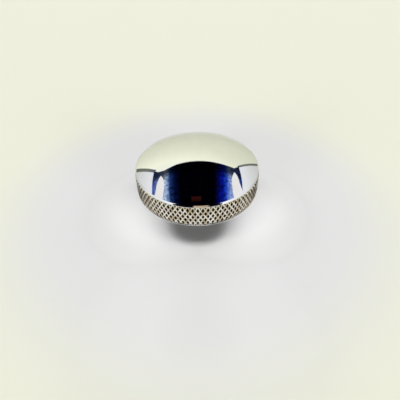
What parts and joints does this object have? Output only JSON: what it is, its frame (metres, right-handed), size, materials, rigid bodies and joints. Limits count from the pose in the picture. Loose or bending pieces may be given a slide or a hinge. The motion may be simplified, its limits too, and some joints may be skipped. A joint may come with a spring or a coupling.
{
  "type": "knurled knob",
  "caption": "Round domed knob turned from one bar, with a diamond-knurled rim to grip and a plain hub with a blind tapped hole, chrome plated.",
  "frame": {"origin": "centre of the hub's flat end, which the knob stands on", "axes": "+Z along the knob's turning axis, from the hub's end up to the top of the dome; +X and +Y are any two directions across it, because the form is round"},
  "size_m": [0.025, 0.025, 0.0136],
  "materials": {
    "chrome_plate": "bright chrome plate on turned brass, dome polished to a mirror"
  },
  "bodies": {
    "root": {"knob": "chrome_plate"}
  },
  "joints": []
}
